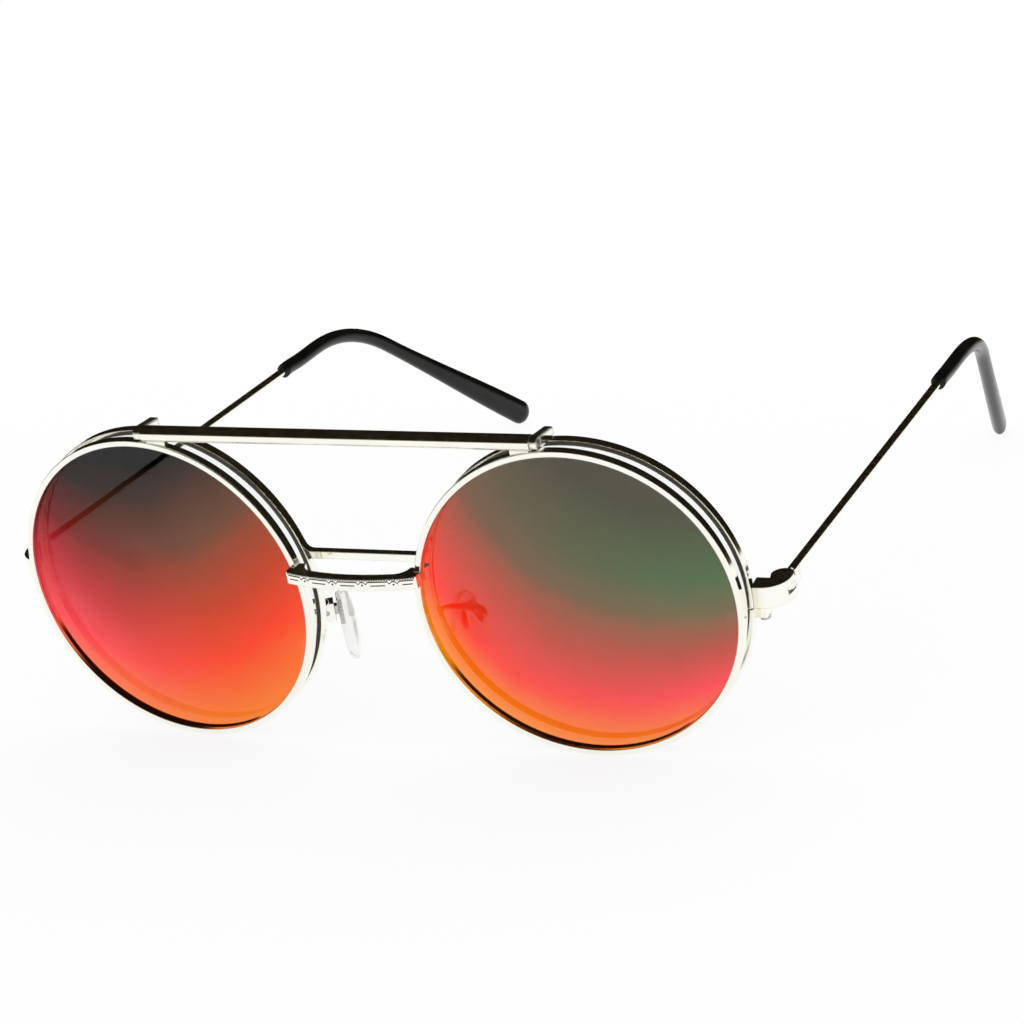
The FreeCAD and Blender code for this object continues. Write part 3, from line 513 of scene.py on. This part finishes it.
# Stage: a white floor and an even white surround, with a dark ceiling that only reflections see
WHITE_SHARE = 0.85
FLOOR_HALF = 1.5
FLOOR_BACK = 0.16
FADE_START = 0.02
FADE_END = FLOOR_BACK - 0.02
CEILING = Vector((-0.08, 0.153, 0.985)).normalized()
CEILING_START = -0.19
CEILING_END = 0.12
CEILING_SHADES = (
    (0.0, (1, 1, 1)),
    (0.25, (0.8, 0.745, 0.57)),
    (0.42, (0.33, 0.265, 0.135)),
    (0.58, (0.075, 0.053, 0.017)),
    (0.8, (0.0125, 0.0085, 0.0025)),
    (1.0, (0.0085, 0.006, 0.0016)),
)


def seen_directly(tree):
    """One for rays that show the stage itself, straight or by way of metal and glass."""
    ray = add(tree, "ShaderNodeLightPath").outputs
    shown = maths(tree, "MAXIMUM", ray["Is Camera Ray"], ray["Is Glossy Ray"])
    return maths(tree, "MAXIMUM", shown, ray["Is Transmission Ray"])


def floor_paint():
    """White paint that takes a faint shadow, and fades to plain white at the back edge."""
    paint, tree, shader = new_material("white_floor")
    shader.inputs["Base Color"].default_value = (0.96, 0.96, 0.96, 1)
    shader.inputs["Roughness"].default_value = 0.9
    shader.inputs["Specular IOR Level"].default_value = 0.0
    white = add(tree, "ShaderNodeEmission", {"Color": (1, 1, 1, 1), "Strength": 1.0})
    depth = add(tree, "ShaderNodeSeparateXYZ", {"Vector": place_of(tree)}).outputs["Y"]
    white_share = between(tree, depth, WHITE_SHARE, 1.0, FADE_START, FADE_END)
    share = maths(tree, "MULTIPLY", seen_directly(tree), white_share)
    mixed = add(
        tree,
        "ShaderNodeMixShader",
        {0: share, 1: shader.outputs["BSDF"], 2: white.outputs["Emission"]},
    )
    tree.links.new(mixed.outputs["Shader"], tree.nodes["Material Output"].inputs["Surface"])
    return paint


def stage():
    """The floor and the surround."""
    mesh = bpy.data.meshes.new("floor")
    form = bmesh.new()
    bmesh.ops.create_grid(form, x_segments=1, y_segments=1, size=FLOOR_HALF)
    bmesh.ops.translate(form, vec=(0, FLOOR_BACK - FLOOR_HALF, 0), verts=form.verts)
    form.to_mesh(mesh)
    form.free()
    mesh.materials.append(floor_paint())
    floor = bpy.data.objects.new("floor", mesh)
    bpy.context.scene.collection.objects.link(floor)

    world = bpy.data.worlds.new("studio")
    bpy.context.scene.world = world
    world.use_nodes = True
    tree = world.node_tree
    way = add(tree, "ShaderNodeTexCoord").outputs["Generated"]
    height = add(tree, "ShaderNodeVectorMath", {0: way, 1: CEILING}, operation="DOT_PRODUCT")
    rise = between(tree, height.outputs["Value"], 0, 1, CEILING_START, CEILING_END)
    surround = ramp(tree, rise, CEILING_SHADES)
    ray = add(tree, "ShaderNodeLightPath").outputs
    mirrored = maths(tree, "SUBTRACT", ray["Is Glossy Ray"], ray["Is Transmission Ray"])
    shown = blend(tree, mirrored, (1, 1, 1, 1), surround)
    tree.links.new(shown, tree.nodes["Background"].inputs["Color"])


def camera():
    """The photograph's view: a long lens, turned a little about its own axis."""
    focal_length = 173.81
    azimuth = math.radians(27.96)
    elevation = math.radians(19.31)
    roll = math.radians(-8.17)
    distance = 0.7045
    target = lens_frame @ (Vector((26.55, 0, 15.03)) * MM)
    back = Vector(
        (
            math.sin(azimuth) * math.cos(elevation),
            -math.cos(azimuth) * math.cos(elevation),
            math.sin(elevation),
        )
    )
    right = Vector((math.cos(azimuth), math.sin(azimuth), 0))
    up = back.cross(right)
    turned_right = right * math.cos(roll) + up * math.sin(roll)
    turned_up = up * math.cos(roll) - right * math.sin(roll)
    lens = bpy.data.cameras.new("camera")
    lens.lens = focal_length
    lens.sensor_width = 36
    eye = bpy.data.objects.new("camera", lens)
    turn = Matrix((turned_right, turned_up, back)).transposed().to_4x4()
    eye.matrix_world = Matrix.Translation(target + back * distance) @ turn
    bpy.context.scene.collection.objects.link(eye)
    bpy.context.scene.camera = eye


stage()
camera()
bpy.context.scene.view_settings.view_transform = "Standard"
